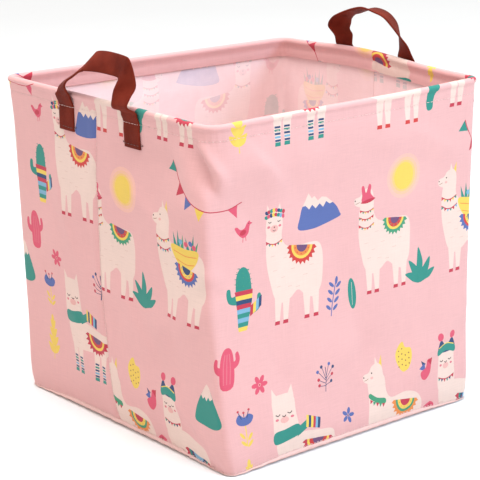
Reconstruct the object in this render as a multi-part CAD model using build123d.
from build123d import *
import os

# A soft storage cube: two printed cloth panels sewn into a square tube, a sewn-on base, a rolled rim over a
# spring wire, and two flat strap handles. Millimetres; the origin is on the floor under the middle of the cube.

# Cube
side = 330.0  # width and depth over the cloth
height = 330.0  # floor to the top of the rolled rim
corner_radius = 20.0
cloth = 1.6  # woven cloth with its waterproof coating
seam_height = 6.0  # where the walls are sewn to the turned-up base
seam_gap = 0.02  # between two cloth edges that meet in a seam

# Rim
wire_diameter = 3.0
roll_diameter = 7.0
roll_bore = 3.6
roll_overhang = 1.0  # how far the roll stands proud of the wall
hem_depth = 20.0  # how far the cloth is turned down inside
ferrule_length = 18.0
ferrule_diameter = 3.5
ferrule_bore = 2.8  # crimped onto the wire's ends

# The walls fold up below this height; the band above it stays with the wire
band_bottom = 274.0

# Handles
strap_width = 25.0
strap_thickness = 2.0
strap_spacing = 104.0  # between the middles of a handle's two ends
strap_drop = 38.0  # how far the ends reach below the rim
loop_height = 52.0  # how far the loop stands above the rim
loop_corner = 30.0
strap_clearance = 0.3
fold_rise = 1.5  # the fold line of a handle, above the rim
fold_gap = 1.0  # between the top of a strap's end and the rim's top

# Threads
stitch_length = 3.2
stitch_pitch = 4.4
thread_width = 0.7
thread_height = 0.35
hem_stitch_z = 315.0
strap_stitch_z = height - strap_drop + 4.0

half = side / 2
roll_radius = roll_diameter / 2
roll_inset = roll_radius - roll_overhang  # from the wall's outer face to the wire's axis
roll_z = height - roll_radius
clear_x = half + roll_overhang + strap_clearance  # a strap's inner face where it passes the roll
strap_x = clear_x + strap_thickness / 2
bend_low = hem_stitch_z + 4.0  # a strap's end bends away from the wall here
bend_high = height - roll_diameter + 0.5


def rounded_square(inset, z=0.0):
    """The cube's plan, moved inwards by inset, as a closed face at height z."""
    width = side - 2 * inset
    return Plane.XY.offset(z) * RectangleRounded(width, width, corner_radius - inset)


def tube(inset, thickness, low, high):
    """A square tube of cloth."""
    outline = rounded_square(inset, low) - rounded_square(inset + thickness, low)
    return extrude(outline, high - low)


def ring(diameter):
    """A round bar bent along the rim."""
    path = rounded_square(roll_inset, roll_z).face().outer_wire()
    return sweep(Plane(path @ 0, z_dir=path % 0) * Circle(diameter / 2), path=path)


def front_half(shape):
    """The part of a shape on the front panel's side of the two seams."""
    return shape & Box(2 * side, side, 2 * height, align=(Align.CENTER, Align.MAX, Align.MIN)).moved(
        Location((0, -seam_gap / 2, 0))
    )


def back_half(shape):
    """The same for the back panel."""
    return shape & Box(2 * side, side, 2 * height, align=(Align.CENTER, Align.MIN, Align.MIN)).moved(
        Location((0, seam_gap / 2, 0))
    )


def base_panel():
    """The floor of the cube, with its edge turned up to meet the walls."""
    tray = extrude(rounded_square(0), seam_height - seam_gap)
    tray = fillet(tray.faces().sort_by(Axis.Z)[0].edges(), 3.0)
    return tray - extrude(rounded_square(cloth, cloth), seam_height)


def rim_band():
    """The top of the walls: outer cloth, the roll round the wire, and the hem turned down inside."""
    outer = tube(0, cloth, band_bottom, roll_z)
    hem = tube(cloth, cloth, height - hem_depth, roll_z)
    return outer + hem + ring(roll_diameter) - ring(roll_bore)


def wire_ferrule():
    """The crimped sleeve over the wire's two ends, in the middle of the back."""
    sleeve = Cylinder(ferrule_diameter / 2, ferrule_length) - Cylinder(ferrule_bore / 2, ferrule_length)
    return sleeve.rotate(Axis.Y, 90).moved(Location((0, half - roll_inset, roll_z)))


def rim_wire():
    """The spring wire; the ferrule is squeezed into its surface."""
    return ring(wire_diameter) - wire_ferrule()


def strap_ends(side_sign):
    """The two flat ends of a strap: sewn flat on the wall, and bent outwards to pass the roll."""
    top = height - fold_gap
    inner = [(half, height - strap_drop), (half, bend_low), (clear_x, bend_high), (clear_x, top)]
    outer = [(x + strap_thickness, z) for x, z in reversed(inner)]
    profile = Plane.XZ * make_face(Polyline(*inner, *outer, close=True))
    ends = []
    for y in (-strap_spacing / 2, strap_spacing / 2):
        end = extrude(profile, strap_width / 2, both=True).moved(Location((0, y, 0)))
        ends.append(end if side_sign > 0 else mirror(end, about=Plane.YZ))
    return Compound(ends)


def strap_loop(side_sign):
    """The loop of a strap above the rim; it folds about a line just outside it, at its foot."""
    outer_width = strap_spacing + strap_width
    inner_width = strap_spacing - strap_width
    outer = Rectangle(outer_width, loop_height, align=(Align.CENTER, Align.MIN))
    outer = fillet(outer.vertices().group_by(Axis.Y)[-1], loop_corner)
    inner_height = loop_height - strap_width
    inner = Rectangle(inner_width, inner_height, align=(Align.CENTER, Align.MIN))
    inner = fillet(inner.vertices().group_by(Axis.Y)[-1], loop_corner - strap_width / 2)
    middle = Plane((side_sign * strap_x, 0, height + fold_rise), x_dir=(0, 1, 0), z_dir=(1, 0, 0))
    return extrude(middle * (outer - inner), strap_thickness / 2, both=True)


def stitch(place, along, out):
    """One stitch lying on the cloth: a small bar along one direction."""
    bar = Box(stitch_length, thread_width, thread_height, align=(Align.CENTER, Align.CENTER, Align.MIN))
    return Plane(place, x_dir=along, z_dir=out) * bar


def row_of_stitches(start, along, out, length):
    """A straight row of stitches that fills the length, centred in it."""
    count = int(length // stitch_pitch)
    first = (length - (count - 1) * stitch_pitch) / 2
    step = Vector(*along)
    return [stitch(Vector(*start) + step * (first + i * stitch_pitch), along, out) for i in range(count)]


def hem_stitching():
    """The row of stitches that holds the hem, along the flat of each wall and over the handles' ends."""
    flat = half - corner_radius
    near, far = (strap_spacing - strap_width) / 2, (strap_spacing + strap_width) / 2
    on_cloth = [(-flat, -far), (-near, near), (far, flat)]
    on_strap = [(-far, -near), (near, far)]
    stitches = []
    for sign in (-1, 1):
        start = (-flat, sign * half, hem_stitch_z)
        stitches += row_of_stitches(start, (1, 0, 0), (0, sign, 0), 2 * flat)
        for stretches, x in ((on_cloth, half), (on_strap, half + strap_thickness)):
            for low, high in stretches:
                start = (sign * x, low, hem_stitch_z)
                stitches += row_of_stitches(start, (0, 1, 0), (sign, 0, 0), high - low)
    return Compound(stitches)


def base_seam_stitching():
    """The row of stitches that holds the base, just under the seam."""
    flat = half - corner_radius
    row = row_of_stitches((-flat, -half, seam_height - 1.5), (1, 0, 0), (0, -1, 0), 2 * flat)
    return Compound([bar.rotate(Axis.Z, 90 * turn) for turn in range(4) for bar in row])


def side_seam_stitching():
    """A row of stitches down each side seam, on the front panel's edge."""
    stitches = []
    drop = band_bottom - seam_height
    for x in (-half, half):
        out = (x / half, 0, 0)
        stitches += row_of_stitches((x, -2.0, band_bottom), (0, 0, -1), out, drop)
    return Compound(stitches)


def strap_stitching(side_sign):
    """The row of stitches across the bottom of each strap end."""
    stitches = []
    face = side_sign * (half + strap_thickness)
    for y in (-strap_spacing / 2, strap_spacing / 2):
        start = (face, y - strap_width / 2, strap_stitch_z)
        stitches += row_of_stitches(start, (0, 1, 0), (side_sign, 0, 0), strap_width)
    return Compound(stitches)


walls = tube(0, cloth, seam_height, band_bottom - seam_gap)
band = rim_band()

nodes = {
    "base_panel": base_panel(),
    "front_panel_wall": front_half(walls),
    "back_panel_wall": back_half(walls),
    "front_panel_hem": front_half(band),
    "back_panel_hem": back_half(band),
    "rim_wire": rim_wire(),
    "wire_ferrule": wire_ferrule(),
    "left_strap_ends": strap_ends(-1),
    "right_strap_ends": strap_ends(1),
    "left_strap_loop": strap_loop(-1),
    "right_strap_loop": strap_loop(1),
    "hem_stitching": hem_stitching(),
    "side_seam_stitching": side_seam_stitching(),
    "base_seam_stitching": base_seam_stitching(),
    "left_strap_stitching": strap_stitching(-1),
    "right_strap_stitching": strap_stitching(1),
}

os.makedirs("parts", exist_ok=True)
for name, shape in nodes.items():
    export_step(shape, f"parts/{name}.step")
